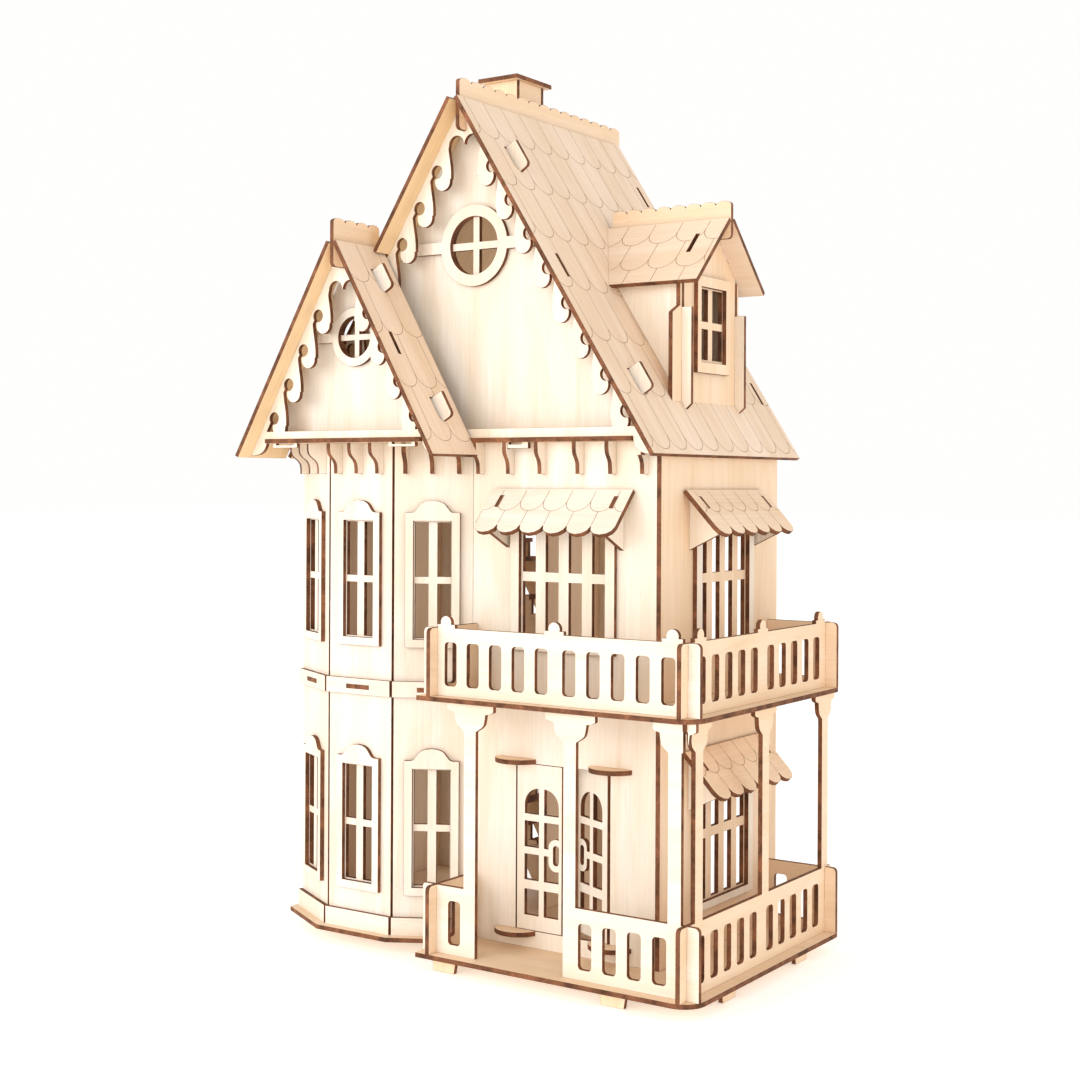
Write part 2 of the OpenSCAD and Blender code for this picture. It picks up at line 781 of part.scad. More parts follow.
// The top of the main bargeboard: a solid head with a heart-shaped lower edge
module heart_top() difference() {
    polygon([[-34, -44], [0, 12], [34, -44], [20, -48], [-20, -48]]);
    for (s = [-1, 1]) translate([s * 6.3, -35.5]) circle(6);
    polygon([[-12.3, -35.5], [12.3, -35.5], [15.5, -49], [-15.5, -49]]);
}

// A board of triangular outline with a wide opening: the frame behind the main roof
module rear_gable_frame() color(birch) house() facade(rear_frame_y) difference() {
    gable(0, main_apex, main_slope, z3);
    difference() {
        gable(0, main_apex - 28, main_slope, z3 + 9);
        box(-150, main_apex - 75, 150, main_apex - 66);
    }
    ridge_slot(0, main_apex, main_ridge_low);
}

module bay_gable_wall() color(pale) house() facade(bay_gable_y) difference() {
    union() {
        gable(bay_x, bay_apex, bay_slope, z3);
        roof_hooks(bay_x, bay_apex, bay_slope, bay_hooks);
    }
    ridge_slot(bay_x, bay_apex, bay_ridge_low);
    cross_panes(bay_x, bay_eye_z, 13.8, 4);
}

module bay_gable_ring() color(pale) house() facade(bay_gable_y - ply) difference() {
    union() {
        translate([bay_x, bay_eye_z]) circle(19.5);
        box(bay_x - 32, bay_eye_z - 3.2, bay_x + 32, bay_eye_z + 3.2);
    }
    translate([bay_x, bay_eye_z]) circle(13.8);
}

module bay_bargeboard() color(pale) house() facade(bay_board_y) translate([bay_x, 0]) {
    length = bay_half / cos(bay_slope) - 1.5;
    difference() {
        union() {
            intersection() {
                union() {
                    translate([0, bay_apex]) for (side = [0, 1]) mirror([side, 0])
                        rake(bay_slope, length, 4, 55.8, 26, 0.94);
                    translate([0, bay_apex - 4.5]) scale(0.94) heart_top();
                    box(-bay_half, z3, bay_half, z3 + 5);
                }
                gable(0, bay_apex, bay_slope, z3);
            }
            for (s = [-1, 1]) intersection() {
                eave_tail(s, bay_ledge_half, bay_half);
                gable(0, bay_apex, bay_slope, 319);
            }
            for (s = [-1, 1]) box(s * bay_tab - bay_tab_half, z2_top - 3, s * bay_tab + bay_tab_half, z3 + 1);
        }
        ridge_slot(0, bay_apex, bay_ridge_low);
        for (s = [-1, 1]) box(s * bay_tab - 8, z2_top - 1.3, s * bay_tab + 8, z2_top);
    }
}

// ---- roofs ----

// Where a panel starts below the apex, so that it clears the ridge board and its twin
function ridge_gap(slope) = (ply / 2 + ply * sin(slope)) / cos(slope);

main_length = main_half / cos(main_slope);
bay_length = bay_half / cos(bay_slope);

module main_panel(front_low) difference() {
    notch_s = 65 / cos(main_slope);
    box(main_y0, -main_length, main_y1, -ridge_gap(main_slope));
    if (front_low > main_y0) box(main_y0 - 1, -main_length - 1, front_low, -notch_s);
    hook_slots(main_gable_y, main_hooks);
}

module main_roof_right() color(birch) house() slope_right(0, main_apex, main_slope) difference() {
    main_panel(main_y0);
    box(main_board_y, -151, main_board_y + ply, -133);
    for (s = [48, 221]) box(rear_frame_y, -s - 18, rear_frame_y + ply, -s);
}

module main_roof_left() color(birch) house() slope_left(0, main_apex, main_slope)
    main_panel(bay_y1 + 1);

module bay_panel() difference() {
    box(bay_y0, -bay_length, bay_y1, -ridge_gap(bay_slope));
    hook_slots(bay_gable_y, bay_hooks);
    box(bay_board_y, -95, bay_board_y + ply, -78);
}

module bay_roof_right() color(birch) house() slope_right(bay_x, bay_apex, bay_slope) bay_panel();

module bay_roof_left() color(birch) house() slope_left(bay_x, bay_apex, bay_slope) bay_panel();

// A row of scallops along the top of a board, from the left end to the right
function scallops(x0, x1, top, count, depth) = [for (i = [0:count - 1], k = [0:6])
    let (step = (x1 - x0) / count)
    if (k < 6 || i == count - 1) [x0 + (i + 0.5 - 0.5 * cos(30 * k)) * step, top - depth + depth * sin(30 * k)]];

// A ridge board with a scalloped crest: y0 to y1 is its length, rise its crest above the apex
module crest(y0, y1, low, apex, rise, pitch) {
    polygon(concat([[y1, apex - 9], [y0, apex - 9]],
        scallops(y0, y1, apex + rise, round((y1 - y0) / pitch), 2.6)));
    tongue_down(y0, low, y0 + 10, apex - 8);
}

// The drop at a ridge board's front end
module tongue_down(x0, z0, x1, z1) {
    box(x0, z0 + 3, x1, z1);
    box(x0 + 3, z0, x1, z1);
    translate([x0 + 3, z0 + 3]) circle(3);
}

module main_ridge_board() color(birch) house() flank(-ply / 2) difference() {
    union() {
        crest(main_y0 + 6.5, main_y1 + 5, main_ridge_low, main_apex, 7, 13);
        box(main_y0 + 10, main_apex - 27, main_y1, main_apex - 5);
    }
    box(main_board_y, main_apex - 28, main_board_y + ply, main_apex - 14);
}

module bay_ridge_board() color(birch) house() flank(bay_x - ply / 2)
    crest(bay_y0 + 1, bay_y1, bay_ridge_low, bay_apex, 8, 13);

// ---- dormer ----

// Height of the main roof's outer face at a distance x from the ridge
function roof_z(x) = main_apex - x * tan(main_slope);
function roof_x(z) = (main_apex - z) / tan(main_slope);

// Everything under the outer face of the main roof's right slope
module under_main_roof() translate([0, body_d, 0]) rotate([90, 0, 0]) linear_extrude(body_d)
    polygon([[0, main_apex], [200, roof_z(200)], [0, roof_z(200)]]);

module dormer_front_wall() color(pale) house() difference() {
    wing = cheek_half + 11.7;
    neck = cheek_half + 2;
    flank(dormer_wall_x - ply) difference() {
        union() {
            intersection() {
                translate([dormer_y, 0]) gable(0, dormer_apex, dormer_slope, sill_z);
                box(dormer_y - neck, sill_z, dormer_y + neck, dormer_apex);
            }
            polygon([[dormer_y - wing, sill_z], [dormer_y + wing, sill_z], [dormer_y + wing, 410],
                [dormer_y + neck, 415], [dormer_y - neck, 415], [dormer_y - wing, 410]]);
        }
        for (s = [-1, 1]) translate([dormer_y + s * (cheek_half - ply / 2), 0])
            box(-ply / 2, lap_height, ply / 2, 440);
        box(dormer_y - ply / 2, dormer_apex - 9, dormer_y + ply / 2, dormer_apex);
        panes(dormer_y, 382, 33, 46, 2, 6, 402, 5);
    }
    under_main_roof();
}

lap_height = 380;

module dormer_cheeks() color(pale) house() {
    ear_x = dormer_wall_x + 7;
    top = dormer_apex - cheek_half - ply / cos(dormer_slope) - 0.2;
    for (y = [dormer_y - cheek_half, dormer_y + cheek_half - ply]) facade(y) difference() {
        polygon([[roof_x(top) + 0.15, top], [dormer_wall_x, top], [dormer_wall_x, 414], [ear_x, 414],
            [ear_x, 352], [ear_x - 4, 348.5], [roof_x(352) + 0.15, 352]]);
        box(dormer_wall_x - ply, 340, dormer_wall_x, lap_height);
    }
}

module dormer_window_frame() color(pale) house() flank(dormer_wall_x) difference() {
    box(dormer_y - 22, 373, dormer_y + 22, 436);
    box(dormer_y - 17, 380, dormer_y + 17, 429);
}

// Half of the dormer's roof: from its front end back to the main roof
module dormer_panel() {
    length = dormer_half / cos(dormer_slope);
    start = ridge_gap(dormer_slope);
    polygon([
        [dormer_end_x, -start], [dormer_end_x, -length],
        [roof_x(dormer_apex - length * sin(dormer_slope)), -length],
        [roof_x(dormer_apex - start * sin(dormer_slope)), -start]]);
}

module dormer_roof(side) difference() {
    translate([0, dormer_y, dormer_apex]) mirror([0, side, 0]) rotate([90 - dormer_slope, 0, 0])
        rotate([90, 0, 0]) linear_extrude(ply) difference() {
            dormer_panel();
            box(dormer_wall_x - ply, -39, dormer_wall_x, -20);
        }
    under_main_roof();
}

module dormer_roof_front() color(birch) house() dormer_roof(1);

module dormer_roof_rear() color(birch) house() dormer_roof(0);

module dormer_ridge_board() color(birch) house() facade(dormer_y - ply / 2) {
    low = dormer_apex - 17;
    x0 = roof_x(dormer_apex) + 5;
    x1 = dormer_end_x;
    mirror([1, 0]) crest(-x1, -x0, low, dormer_apex, 8, 12);
}

// ---- chimney ----

module chimney_walls() color(birch) house() {
    kerf = 0.05;
    x0 = -39.6;
    x1 = -13.2;
    y0 = 71;
    y1 = 104;
    top = chimney_top - ply;
    for (y = [y0, y1 - ply]) facade(y)
        polygon([[x0, roof_z(-x0) + kerf], [x1, roof_z(-x1) + kerf], [x1, top], [x0, top]]);
    flank(x0) box(y0 + ply + kerf, roof_z(-x0 - ply) + kerf, y1 - ply - kerf, top);
    flank(x1 - ply) box(y0 + ply + kerf, roof_z(-x1) + kerf, y1 - ply - kerf, top);
}

module chimney_cap() color(birch) house() slab(chimney_top - ply) box(-43.1, 66, -9.6, 109);

base_plate();
feet();
first_floor();
attic_floor();
front_wall_ground();
front_wall_upper();
right_wall_ground();
right_wall_upper();
left_wall_ground();
left_wall_upper();
bay_walls_ground();
bay_walls_upper();
bay_base_bands();
bay_floor_bands();
bay_window_frames();
front_window_frame();
right_window_frames();
inner_wall_ground();
inner_wall_upper();
rear_walls();
stairs_ground();
stairs_upper();
door_left();
door_right();
hinge_plates();
porch_front();
porch_side();
porch_left_return();
porch_rear();
balcony_front();
balcony_side();
balcony_left_return();
balcony_rear();
corbels_main();
corbels_bay();
awning_front();
awning_side_upper();
awning_side_ground();
awning_brackets();
main_gable_wall();
main_gable_ring();
main_bargeboard();
main_roof_right();
main_roof_left();
main_ridge_board();
rear_gable_frame();
bay_gable_wall();
bay_gable_ring();
bay_bargeboard();
bay_roof_right();
bay_roof_left();
bay_ridge_board();
dormer_front_wall();
dormer_cheeks();
dormer_window_frame();
dormer_roof_front();
dormer_roof_rear();
dormer_ridge_board();
chimney_walls();
chimney_cap();
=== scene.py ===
import math

import bpy
import numpy as np
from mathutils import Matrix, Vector
from mathutils.bvhtree import BVHTree


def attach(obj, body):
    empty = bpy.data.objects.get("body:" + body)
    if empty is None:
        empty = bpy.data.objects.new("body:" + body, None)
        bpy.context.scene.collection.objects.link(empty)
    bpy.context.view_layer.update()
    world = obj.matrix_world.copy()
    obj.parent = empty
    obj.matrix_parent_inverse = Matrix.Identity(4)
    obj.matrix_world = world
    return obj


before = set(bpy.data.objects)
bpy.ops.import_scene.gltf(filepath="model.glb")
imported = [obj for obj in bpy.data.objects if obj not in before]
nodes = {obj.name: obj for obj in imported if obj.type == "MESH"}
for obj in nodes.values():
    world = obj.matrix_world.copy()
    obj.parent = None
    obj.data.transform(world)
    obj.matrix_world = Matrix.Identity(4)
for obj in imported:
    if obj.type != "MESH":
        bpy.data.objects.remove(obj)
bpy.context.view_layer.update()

scene = bpy.context.scene

# ---- measures of the house in millimetres: X from the main ridge to the porch side, Y from the front ----
# ---- wall to the back, Z from the base plate's underside                                             ----
MM = 0.001
SHEET = 3.0
HOUSE_ZERO = Vector((-20.3, -63.0, 9.0))
HOUSE_MIDDLE_Y = 79.5
MAIN_APEX, MAIN_EAVE, MAIN_HALF = 558, 319, 152.5
MAIN_ROOF_MIDDLE_Y = 78.5
BAY_X, BAY_APEX, BAY_ROOF_MIDDLE_Y = -71, 466, -30
DORMER_X, DORMER_Y, DORMER_APEX = 100, 88, 478
RIGHT_WALL_X = 145
FRONT_WINDOW_X = 74
AWNING_TOP, AWNING_DROP, AWNING_REACH = 295.2, 27.5, 26
STOREY_SHIFT = 163.5

X, Y, Z = (1, 0, 0), (0, 1, 0), (0, 0, 1)
main_slope = math.atan((MAIN_APEX - MAIN_EAVE) / MAIN_HALF)
bay_slope = math.radians(60)
dormer_slope = math.radians(45)
awning_slope = math.atan(AWNING_DROP / AWNING_REACH)

# ---- camera: eye level is half-way up the house, and the view is turned 34 degrees to the porch side ----
EYE = (0.6436, -0.96325, 0.309)
TURN, ROLL = 34.045, -0.26
camera_data = bpy.data.cameras.new("camera")
camera_data.lens = 56.64
camera_data.sensor_width = 36
camera_data.shift_y = -0.0514
camera_data.clip_start = 0.02
camera_data.clip_end = 60
camera = bpy.data.objects.new("camera", camera_data)
camera.location = EYE
camera.rotation_mode = "XYZ"
camera.rotation_euler = (math.radians(90), math.radians(ROLL), math.radians(TURN))
scene.collection.objects.link(camera)
scene.camera = camera
scene.view_settings.view_transform = "Standard"


# ---- materials ----
class Graph:
    """A short way to write a node tree."""

    def __init__(self, name):
        self.material = bpy.data.materials.new(name)
        self.material.use_nodes = True
        self.tree = self.material.node_tree
        self.tree.nodes.clear()
        self.out = self.add("ShaderNodeOutputMaterial")

    def add(self, kind, **settings):
        n = self.tree.nodes.new(kind)
        for k, v in settings.items():
            setattr(n, k, v)
        return n

    def join(self, a, b):
        self.tree.links.new(a, b)

    def position(self, grain, stretch):
        """Object coordinates turned so that the grain runs along Z, and squeezed along it."""
        coords = self.add("ShaderNodeTexCoord")
        turn = self.add("ShaderNodeMapping")
        turn.inputs["Rotation"].default_value = Vector(grain).rotation_difference(Vector(Z)).to_euler()
        self.join(coords.outputs["Object"], turn.inputs["Vector"])
        squeeze = self.add("ShaderNodeMapping")
        squeeze.inputs["Scale"].default_value = (1, 1, stretch)
        self.join(turn.outputs["Vector"], squeeze.inputs["Vector"])
        return squeeze.outputs["Vector"]

    def noise(self, where, scale, detail=3, distortion=0.0, rough=0.55):
        n = self.add("ShaderNodeTexNoise")
        n.inputs["Scale"].default_value = scale
        n.inputs["Detail"].default_value = detail
        n.inputs["Roughness"].default_value = rough
        n.inputs["Distortion"].default_value = distortion
        self.join(where, n.inputs["Vector"])
        return n.outputs["Fac"]

    def ramp(self, value, low, high, a, b):
        r = self.add("ShaderNodeValToRGB")
        r.color_ramp.elements[0].position = low
        r.color_ramp.elements[1].position = high
        r.color_ramp.elements[0].color = (*a, 1)
        r.color_ramp.elements[1].color = (*b, 1)
        self.join(value, r.inputs["Fac"])
        return r.outputs["Color"]

    def math(self, kind, a, b):
        m = self.add("ShaderNodeMath", operation=kind)
        for socket, v in zip(m.inputs, (a, b)):
            if isinstance(v, (int, float)):
                socket.default_value = v
            else:
                self.join(v, socket)
        return m.outputs[0]

    def mix(self, kind, amount, a, b):
        m = self.add("ShaderNodeMix", data_type="RGBA", blend_type=kind)
        for socket, v in zip((m.inputs["Factor"], m.inputs[6], m.inputs[7]), (amount, a, b)):
            if isinstance(v, (int, float)):
                socket.default_value = v
            elif isinstance(v, tuple):
                socket.default_value = (*v, 1)
            else:
                self.join(v, socket)
        return m.outputs[2]

    def finish(self, colour, rough, bump=None, strength=0.2, distance=0.00006, gloss=0.3):
        shader = self.add("ShaderNodeBsdfPrincipled")
        shader.inputs["Specular IOR Level"].default_value = gloss
        self.join(colour, shader.inputs["Base Color"])
        self.join(rough, shader.inputs["Roughness"])
        if bump is not None:
            b = self.add("ShaderNodeBump")
            b.inputs["Strength"].default_value = strength
            b.inputs["Distance"].default_value = distance
            self.join(bump, b.inputs["Height"])
            self.join(b.outputs["Normal"], shader.inputs["Normal"])
        self.join(shader.outputs[0], self.out.inputs[0])
        return self.material


def birch(name, base, grain):
    """Rotary-cut birch veneer: broad soft figure, fine fibres along the grain and short brown pores."""
    # features per metre across the grain
    figure_scale, fibre_scale, thread_scale, pore_scale, cloud_scale = 34, 620, 1500, 820, 9
    ring_count = 46
    white, black = (1, 1, 1), (0, 0, 0)
    g = Graph(name)
    broad = g.position(grain, 0.16)
    fine = g.position(grain, 0.02)
    short = g.position(grain, 0.11)
    figure = g.noise(broad, figure_scale, 4, 1.4)
    rings = g.math("SINE", g.math("MULTIPLY", figure, ring_count), 0)
    fibres = g.noise(fine, fibre_scale, 3)
    threads = g.noise(fine, thread_scale, 2)
    pores = g.noise(short, pore_scale, 2)
    cloud = g.noise(g.position(grain, 0.5), cloud_scale, 2)
    light = tuple(min(1.0, c * f) for c, f in zip(base, (1.03, 1.04, 1.06)))
    deep = tuple(c * f for c, f in zip(base, (0.95, 0.91, 0.85)))
    colour = g.ramp(figure, 0.36, 0.66, deep, light)
    colour = g.mix("MIX", g.ramp(rings, 0.3, 1.0, black, (0.14, 0.14, 0.14)), colour, deep)
    fibre_tint = g.ramp(fibres, 0.3, 0.7, (0.955, 0.94, 0.92), (1.02, 1.02, 1.02))
    colour = g.mix("MULTIPLY", 1.0, colour, fibre_tint)
    colour = g.mix("MULTIPLY", 1.0, colour, g.ramp(threads, 0.25, 0.6, (0.97, 0.96, 0.95), white))
    brown = tuple(c * f for c, f in zip(base, (0.76, 0.66, 0.54)))
    colour = g.mix("MIX", g.ramp(pores, 0.66, 0.76, black, (0.4, 0.4, 0.4)), colour, brown)
    colour = g.mix("MULTIPLY", 1.0, colour, g.ramp(cloud, 0.35, 0.7, (0.975, 0.965, 0.95), white))
    rough = g.math("ADD", g.math("MULTIPLY", fibres, 0.18), 0.46)
    height = g.math("SUBTRACT", g.math("ADD", fibres, g.math("MULTIPLY", threads, 0.5)), pores)
    return g.finish(colour, rough, height, 0.3, 0.00006)


def char(name, dark, warm):
    """A laser-cut edge: soot over brown wood, with fine striations across the sheet."""
    g = Graph(name)
    coords = g.add("ShaderNodeTexCoord").outputs["Object"]
    streaks = g.noise(coords, 1300, 3, 0.3)
    patches = g.noise(coords, 90, 3, 0.6)
    colour = g.ramp(patches, 0.32, 0.68, dark, warm)
    streak_tint = g.ramp(streaks, 0.3, 0.7, (0.62, 0.58, 0.55), (1.35, 1.32, 1.3))
    colour = g.mix("MULTIPLY", 1.0, colour, streak_tint)
    rough = g.math("ADD", g.math("MULTIPLY", streaks, 0.25), 0.55)
    return g.finish(colour, rough, streaks, 0.5, 0.0001, 0.2)


CREAM = (0.88, 0.80, 0.705)
# the peach tone is painted shade: a darker, more orange copy of the cream birch for sheets that face away
# from the key light or stand in shade
PEACH_SHADE = (0.87, 0.675, 0.49)
TAN = (0.85, 0.68, 0.53)
AMBER = (0.90, 0.68, 0.42)

wood = {
    "cream_up": birch("birch_cream_upright", CREAM, Z),
    "cream_x": birch("birch_cream_lengthwise", CREAM, X),
    "cream_y": birch("birch_cream_deep", CREAM, Y),
    # the three peach materials are painted shade: shaded copies of the cream birch
    "peach_shade_up": birch("birch_peach_shade_upright", PEACH_SHADE, Z),
    "peach_shade_x": birch("birch_peach_shade_lengthwise", PEACH_SHADE, X),
    "peach_shade_y": birch("birch_peach_shade_deep", PEACH_SHADE, Y),
    "roof_r": birch("birch_roof_right", TAN, (math.cos(main_slope), 0, -math.sin(main_slope))),
    "roof_l": birch("birch_roof_left", AMBER, (-math.cos(main_slope), 0, -math.sin(main_slope))),
    "roof_y": birch("birch_roof_deep", TAN, Y),
    "dormer": birch("birch_dormer_roof", TAN, X),
}
score = char("scored_line", (0.22, 0.11, 0.055), (0.34, 0.19, 0.10))
soot = char("burnt_cut_edge", (0.085, 0.034, 0.016), (0.27, 0.11, 0.052))

# the wood of each node; a node that is not named here is cream with upright grain. The peach copies are
# painted shade. They go to sheets that face sideways, away from the key light, and to sheets that stand in
# shade under, behind or inside the house
LOOK = {
    "base_plate": "peach_shade_x", "feet": "peach_shade_up", "first_floor": "peach_shade_x", "attic_floor": "peach_shade_x",
    "front_wall_ground": "cream_up", "front_wall_upper": "cream_up",
    "right_wall_ground": "peach_shade_up", "right_wall_upper": "peach_shade_up",
    "left_wall_ground": "peach_shade_up", "left_wall_upper": "peach_shade_up",
    "bay_base_bands": "cream_x", "bay_floor_bands": "cream_x",
    "inner_wall_ground": "peach_shade_up", "inner_wall_upper": "peach_shade_up",
    "stairs_ground": "peach_shade_y", "stairs_upper": "peach_shade_y", "hinge_plates": "peach_shade_x",
    "porch_front": "cream_x", "porch_side": "peach_shade_y", "porch_left_return": "peach_shade_y",
    "porch_rear": "peach_shade_x",
    "balcony_front": "cream_x", "balcony_side": "peach_shade_y", "balcony_left_return": "peach_shade_y",
    "balcony_rear": "peach_shade_x", "main_roof_right": "roof_r", "main_roof_left": "roof_l",
    "bay_roof_right": "roof_r", "bay_roof_left": "roof_l", "main_ridge_board": "peach_shade_y",
    "bay_ridge_board": "peach_shade_y", "dormer_front_wall": "peach_shade_up", "dormer_cheeks": "cream_up",
    "dormer_window_frame": "peach_shade_up", "dormer_roof_front": "dormer", "dormer_roof_rear": "dormer",
    "dormer_ridge_board": "peach_shade_x", "chimney_cap": "peach_shade_x", "chimney_walls": "peach_shade_up",
    "awning_front": "cream_x", "awning_side_upper": "peach_shade_y", "awning_side_ground": "peach_shade_y",
}


SAME_PLACE = 2e-6
ARRIS = 0.13


def welded(mesh):
    """For each corner of the mesh the number of its place, so that split vertices count once."""
    co = np.zeros(len(mesh.vertices) * 3, np.float32)
    mesh.vertices.foreach_get("co", co)
    places = np.round(co.reshape(-1, 3) / SAME_PLACE).astype(np.int64)
    _, same = np.unique(places, axis=0, return_inverse=True)
    return same.reshape(-1)


def plate_faces(mesh):
    """Which polygons are sheet faces: in each loose piece, those square to its thinnest direction."""
    same = welded(mesh)
    parent = list(range(int(same.max()) + 1))

    def root(i):
        while parent[i] != i:
            parent[i] = parent[parent[i]]
            i = parent[i]
        return i

    for p in mesh.polygons:
        first = root(same[p.vertices[0]])
        for v in p.vertices[1:]:
            parent[root(same[v])] = first
    islands = {}
    for p in mesh.polygons:
        islands.setdefault(root(same[p.vertices[0]]), []).append(p)
    faces = np.zeros(len(mesh.polygons), bool)
    for members in islands.values():
        share = {}
        for p in members:
            n = p.normal if (p.normal.x, p.normal.y, p.normal.z) > (-1e-3, -1e-3, -1e-3) else -p.normal
            key = tuple(round(c, 1) for c in n)
            share[key] = share.get(key, 0) + p.area
        normal = Vector(max(share, key=share.get)).normalized()
        for p in members:
            faces[p.index] = abs(p.normal.dot(normal)) > 0.93
    return faces


for name, piece in nodes.items():
    mesh = piece.data
    if "custom_normal" in mesh.attributes:
        mesh.attributes.remove(mesh.attributes["custom_normal"])
    mesh.materials.clear()
    mesh.materials.append(wood[LOOK.get(name, "cream_up")])
    mesh.materials.append(soot)
    flat = plate_faces(mesh)
    mesh.polygons.foreach_set("material_index", np.where(flat, 0, 1).astype(np.int32))
    mesh.polygons.foreach_set("use_smooth", np.zeros(len(mesh.polygons), bool))
    weld = piece.modifiers.new("weld", "WELD")
    weld.merge_threshold = SAME_PLACE
    bevel = piece.modifiers.new("singed_arris", "BEVEL")
    bevel.width = ARRIS * MM
    bevel.segments = 1
    bevel.limit_method = "ANGLE"
    bevel.angle_limit = math.radians(50)
    bevel.use_clamp_overlap = False
    bevel.material = 1


# ---- the scored shingles: rows of U shapes on the sloping sheets ----
LINE = 0.34
LIFT = 0.06
STEP = 1.6
ARC_STEPS = 12


def shingle_row(end, up, pitch, shift, reach):
    """One row of U shapes: its lowest points lie at `end`, its straight sides start at `up`."""
    radius = pitch / 2
    first = math.floor((-reach - shift) / pitch)
    last = math.ceil((reach - shift) / pitch)
    lines = []
    for i in range(first, last + 1):
        centre = shift + i * pitch
        arc = []
        for k in range(ARC_STEPS + 1):
            a = math.pi * k / ARC_STEPS
            arc.append((centre - radius * math.cos(a), end - radius + radius * math.sin(a)))
        lines.append(arc)
        lines.append([(centre - radius, up), (centre - radius, end - radius)])
    return lines


def resample(line):
    """The same line in short steps."""
    points = [line[0]]
    for a, b in zip(line, line[1:]):
        n = max(1, math.ceil(math.dist(a, b) / STEP))
        points += [(a[0] + (b[0] - a[0]) * k / n, a[1] + (b[1] - a[1]) * k / n) for k in range(1, n + 1)]
    return points


def scored(node, corner, across, down, rows):
    """Thin dark lines on the outer face of one sheet, only where the sheet is there to carry them."""
    piece = nodes[node]
    tree = BVHTree.FromPolygons([piece.matrix_world @ v.co for v in piece.data.vertices],
                                [p.vertices for p in piece.data.polygons])
    across, down = Vector(across), Vector(down)
    normal = across.cross(down).normalized()
    if normal.z < 0:
        normal.negate()

    def place(u, v, h):
        return (Vector(corner) + across * u + down * v + normal * h + HOUSE_ZERO) * MM

    def carried(u, v):
        hit = tree.ray_cast(place(u, v, 1.0), -normal, 1.3 * MM)
        return hit[0] is not None and hit[3] > 0.7 * MM

    verts, faces = [], []
    for line in rows:
        points = resample(line)
        kept = [carried(*p) for p in points]
        for i in range(len(points) - 1):
            if not (kept[i] and kept[i + 1]):
                continue
            (u0, v0), (u1, v1) = points[i], points[i + 1]
            d = math.dist((u0, v0), (u1, v1))
            su, sv = -(v1 - v0) / d * LINE / 2, (u1 - u0) / d * LINE / 2
            n = len(verts)
            verts += [place(u0 + su, v0 + sv, LIFT), place(u0 - su, v0 - sv, LIFT),
                      place(u1 - su, v1 - sv, LIFT), place(u1 + su, v1 + sv, LIFT)]
            faces.append((n, n + 1, n + 2, n + 3))
    mesh = bpy.data.meshes.new("scored_" + node)
    mesh.from_pydata(verts, [], faces)
    mesh.materials.append(score)
    lines = bpy.data.objects.new("scored_" + node, mesh)
    scene.collection.objects.link(lines)
    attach(lines, "root")


def roof_rows(count, depth, pitch, shift, reach):
    rows = []
    for r in range(count):
        rows += shingle_row(depth * (r + 1), depth * r, pitch, shift + (r % 2) * pitch / 2, reach)
    return rows


PITCH = 20.8
ROW, DORMER_ROW = 40, 27
for side, name in ((1, "right"), (-1, "left")):
    down_main = (side * math.cos(main_slope), 0, -math.sin(main_slope))
    scored("main_roof_" + name, (0, MAIN_ROOF_MIDDLE_Y, MAIN_APEX), Y, down_main,
           roof_rows(7, ROW, PITCH, 0.5, 104))
    down_bay = (side * math.cos(bay_slope), 0, -math.sin(bay_slope))
    scored("bay_roof_" + name, (BAY_X, BAY_ROOF_MIDDLE_Y, BAY_APEX), Y, down_bay,
           roof_rows(4, ROW, PITCH, 2.0, 42))
for side, name in ((-1, "front"), (1, "rear")):
    down_dormer = (0, side * math.cos(dormer_slope), -math.sin(dormer_slope))
    scored("dormer_roof_" + name, (DORMER_X, DORMER_Y, DORMER_APEX), X, down_dormer,
           roof_rows(3, DORMER_ROW, PITCH, 2.0, 60))

# an awning has one row of U shapes, and the straight sides of the row that its scallops end
AWNING_PITCH, AWNING_ROW = 17.5, 19
AWNING_SPAN = 56
cos_a, sin_a = math.cos(awning_slope), math.sin(awning_slope)
awning_rows = (shingle_row(AWNING_ROW, 0, AWNING_PITCH, 0, AWNING_SPAN)
               + shingle_row(50, AWNING_ROW, AWNING_PITCH, AWNING_PITCH / 2, AWNING_SPAN)[1::2])
for name, z in (("awning_side_upper", AWNING_TOP), ("awning_side_ground", AWNING_TOP - STOREY_SHIFT)):
    scored(name, (RIGHT_WALL_X + SHEET * sin_a, HOUSE_MIDDLE_Y, z + SHEET * cos_a), Y, (cos_a, 0, -sin_a),
           awning_rows)
scored("awning_front", (FRONT_WINDOW_X, -SHEET * sin_a, AWNING_TOP + SHEET * cos_a), X,
       (0, -cos_a, -sin_a), awning_rows)


# ---- floor and light ----
FLOOR_REACH = 14.0
FLOOR_DROP = 0.0002
FLOOR_GLOW = 0.30


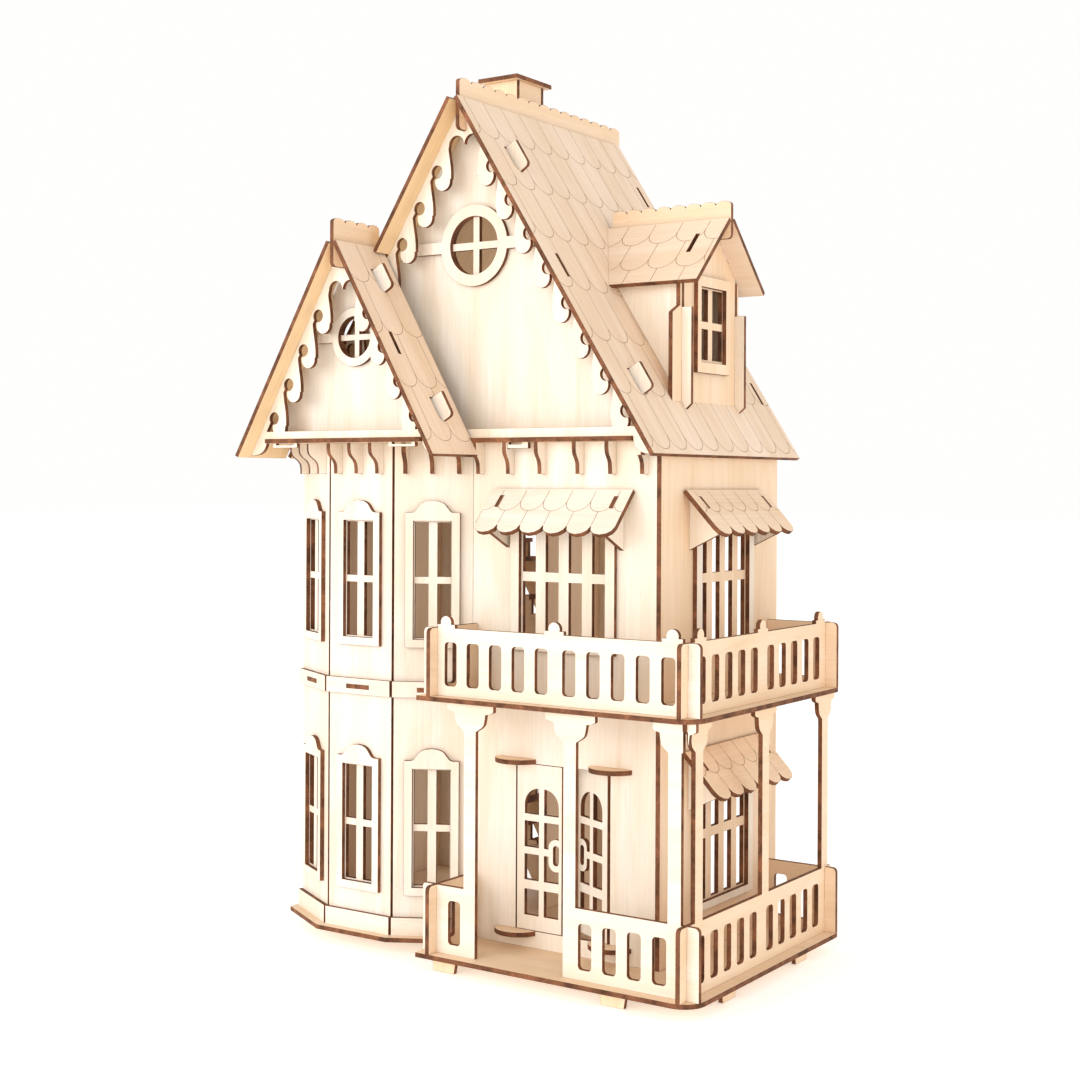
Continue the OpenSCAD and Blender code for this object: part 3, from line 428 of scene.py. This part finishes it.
def plain(name, colour):
    """Matt white paper, lit a little from behind so that it stays white far from the lamps."""
    g = Graph(name)
    coords = g.add("ShaderNodeTexCoord").outputs["Object"]
    tone = g.ramp(g.noise(coords, 3, 2), 0.3, 0.7, tuple(c * 0.985 for c in colour), colour)
    rough = g.math("ADD", g.math("MULTIPLY", g.noise(coords, 40, 2), 0.1), 0.8)
    material = g.finish(tone, rough, None, gloss=0.1)
    shader = next(n for n in g.tree.nodes if n.type == "BSDF_PRINCIPLED")
    shader.inputs["Emission Color"].default_value = (1.0, 0.99, 0.97, 1)
    shader.inputs["Emission Strength"].default_value = FLOOR_GLOW
    return material


floor_mesh = bpy.data.meshes.new("floor")
floor_corners = [(x * FLOOR_REACH, y * FLOOR_REACH, 0) for x, y in ((-1, -1), (1, -1), (1, 1), (-1, 1))]
floor_mesh.from_pydata(floor_corners, [], [(0, 1, 2, 3)])
floor_mesh.materials.append(plain("floor_paper", (0.97, 0.965, 0.96)))
floor = bpy.data.objects.new("floor", floor_mesh)
floor.location.z = -FLOOR_DROP
scene.collection.objects.link(floor)

# the surroundings: white at eye level, a little dimmer overhead
world = bpy.data.worlds.new("studio")
scene.world = world
world.use_nodes = True
tree = world.node_tree
sky = tree.nodes["Background"]
sky.inputs["Strength"].default_value = 1.0
where = tree.nodes.new("ShaderNodeTexCoord")
split = tree.nodes.new("ShaderNodeSeparateXYZ")
fade = tree.nodes.new("ShaderNodeValToRGB")
fade.color_ramp.elements[0].position = 0.30
fade.color_ramp.elements[0].color = (1.0, 0.995, 0.985, 1)
fade.color_ramp.elements[1].position = 0.85
fade.color_ramp.elements[1].color = (0.80, 0.79, 0.77, 1)
tree.links.new(where.outputs["Generated"], split.inputs[0])
tree.links.new(split.outputs["Z"], fade.inputs["Fac"])
tree.links.new(fade.outputs["Color"], sky.inputs["Color"])


AIM = Vector((0, 0, 0.32))


def soft_box(name, place, aim, size, power, colour):
    """A square lamp that faces the house."""
    data = bpy.data.lights.new(name, "AREA")
    data.shape = "SQUARE"
    data.size = size
    data.energy = power
    data.color = colour
    lamp = bpy.data.objects.new(name, data)
    lamp.location = place
    lamp.rotation_euler = (aim - Vector(place)).to_track_quat("-Z", "Y").to_euler()
    scene.collection.objects.link(lamp)


soft_box("key", (-1.7, -4.0, 1.6), AIM, 2.6, 76, (1.0, 0.98, 0.95))
soft_box("front", (0.9, -4.2, 0.9), AIM, 2.6, 36, (1.0, 0.95, 0.88))
soft_box("fill", (2.2, -0.6, 0.5), Vector((0, 0, 0.30)), 1.4, 8, (1.0, 0.93, 0.86))
